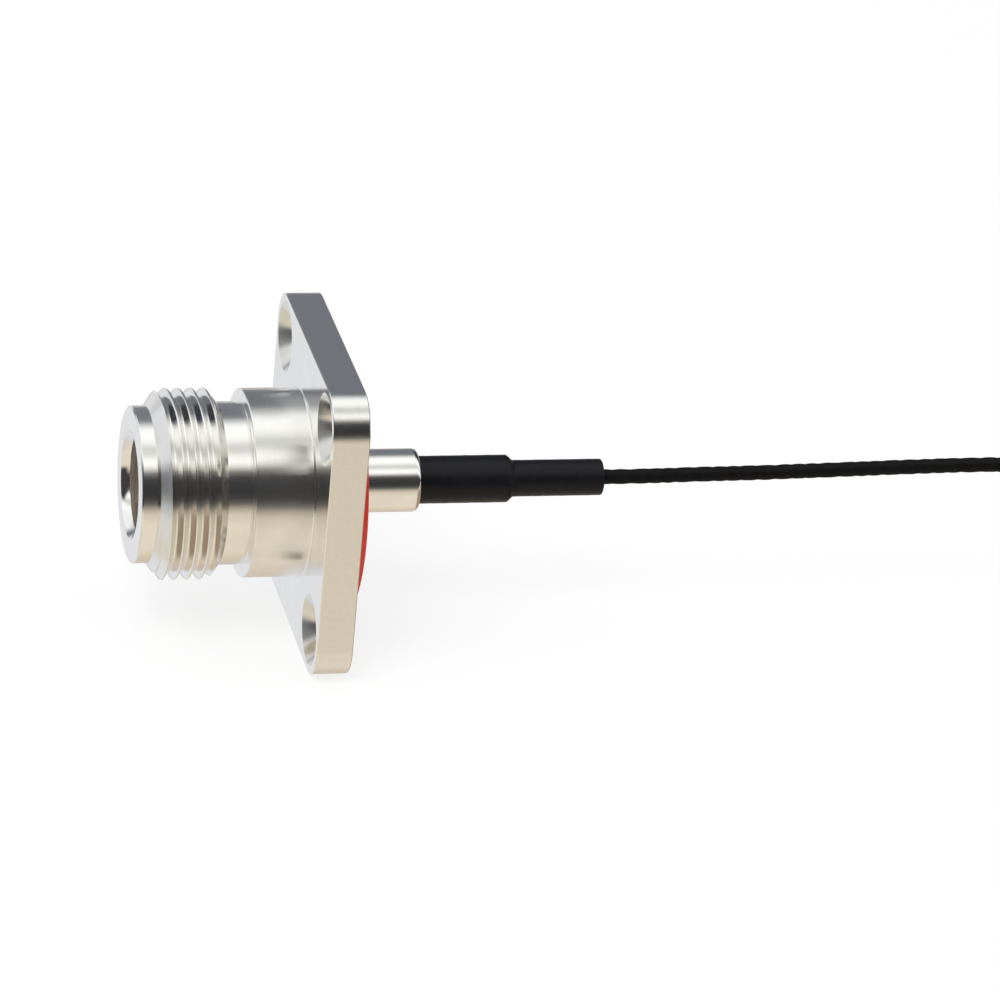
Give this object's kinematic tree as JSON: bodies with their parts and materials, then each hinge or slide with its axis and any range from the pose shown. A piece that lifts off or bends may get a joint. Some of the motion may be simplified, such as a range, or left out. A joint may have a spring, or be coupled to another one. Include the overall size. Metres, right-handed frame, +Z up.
{
  "type": "n type connector",
  "caption": "Square-flanged threaded coaxial panel jack with a sleeved rear spigot and a thin coaxial lead ending in a micro push-fit plug.",
  "frame": {"origin": "centre of the flange's rear face, where the jack's axis meets the panel", "axes": "+X along the jack's axis from the threaded mouth towards the lead, +Z up, flange sides parallel to Y and Z"},
  "size_m": [0.1041, 0.0286, 0.0254],
  "materials": {
    "nickel": "bright nickel plate on turned brass",
    "gold": "gold plate",
    "ptfe": "machined PTFE",
    "silicone": "red silicone",
    "heat_shrink": "satin black heat shrink",
    "filler": "black filler tube",
    "conductor": "silvered copper wire",
    "braid": "tinned copper braid",
    "lead": "thin black jacket over a braid",
    "tie": "black nylon"
  },
  "bodies": {
    "root": {"jack_body": "nickel", "front_insulator": "ptfe", "centre_contact": "gold", "rear_insulator": "ptfe", "rear_sleeve": "nickel", "flange_seal": "silicone", "crimp_ferrule": "nickel", "filler_sleeve": "filler", "heat_shrink": "heat_shrink", "cable_conductor": "conductor", "cable_dielectric": "ptfe", "cable_braid": "braid", "cable": "lead", "cable_coil": "lead", "coil_tie": "tie", "cable_tail": "lead", "plug_shell": "gold", "plug_insulator": "ptfe", "plug_contact": "gold"}
  },
  "joints": []
}
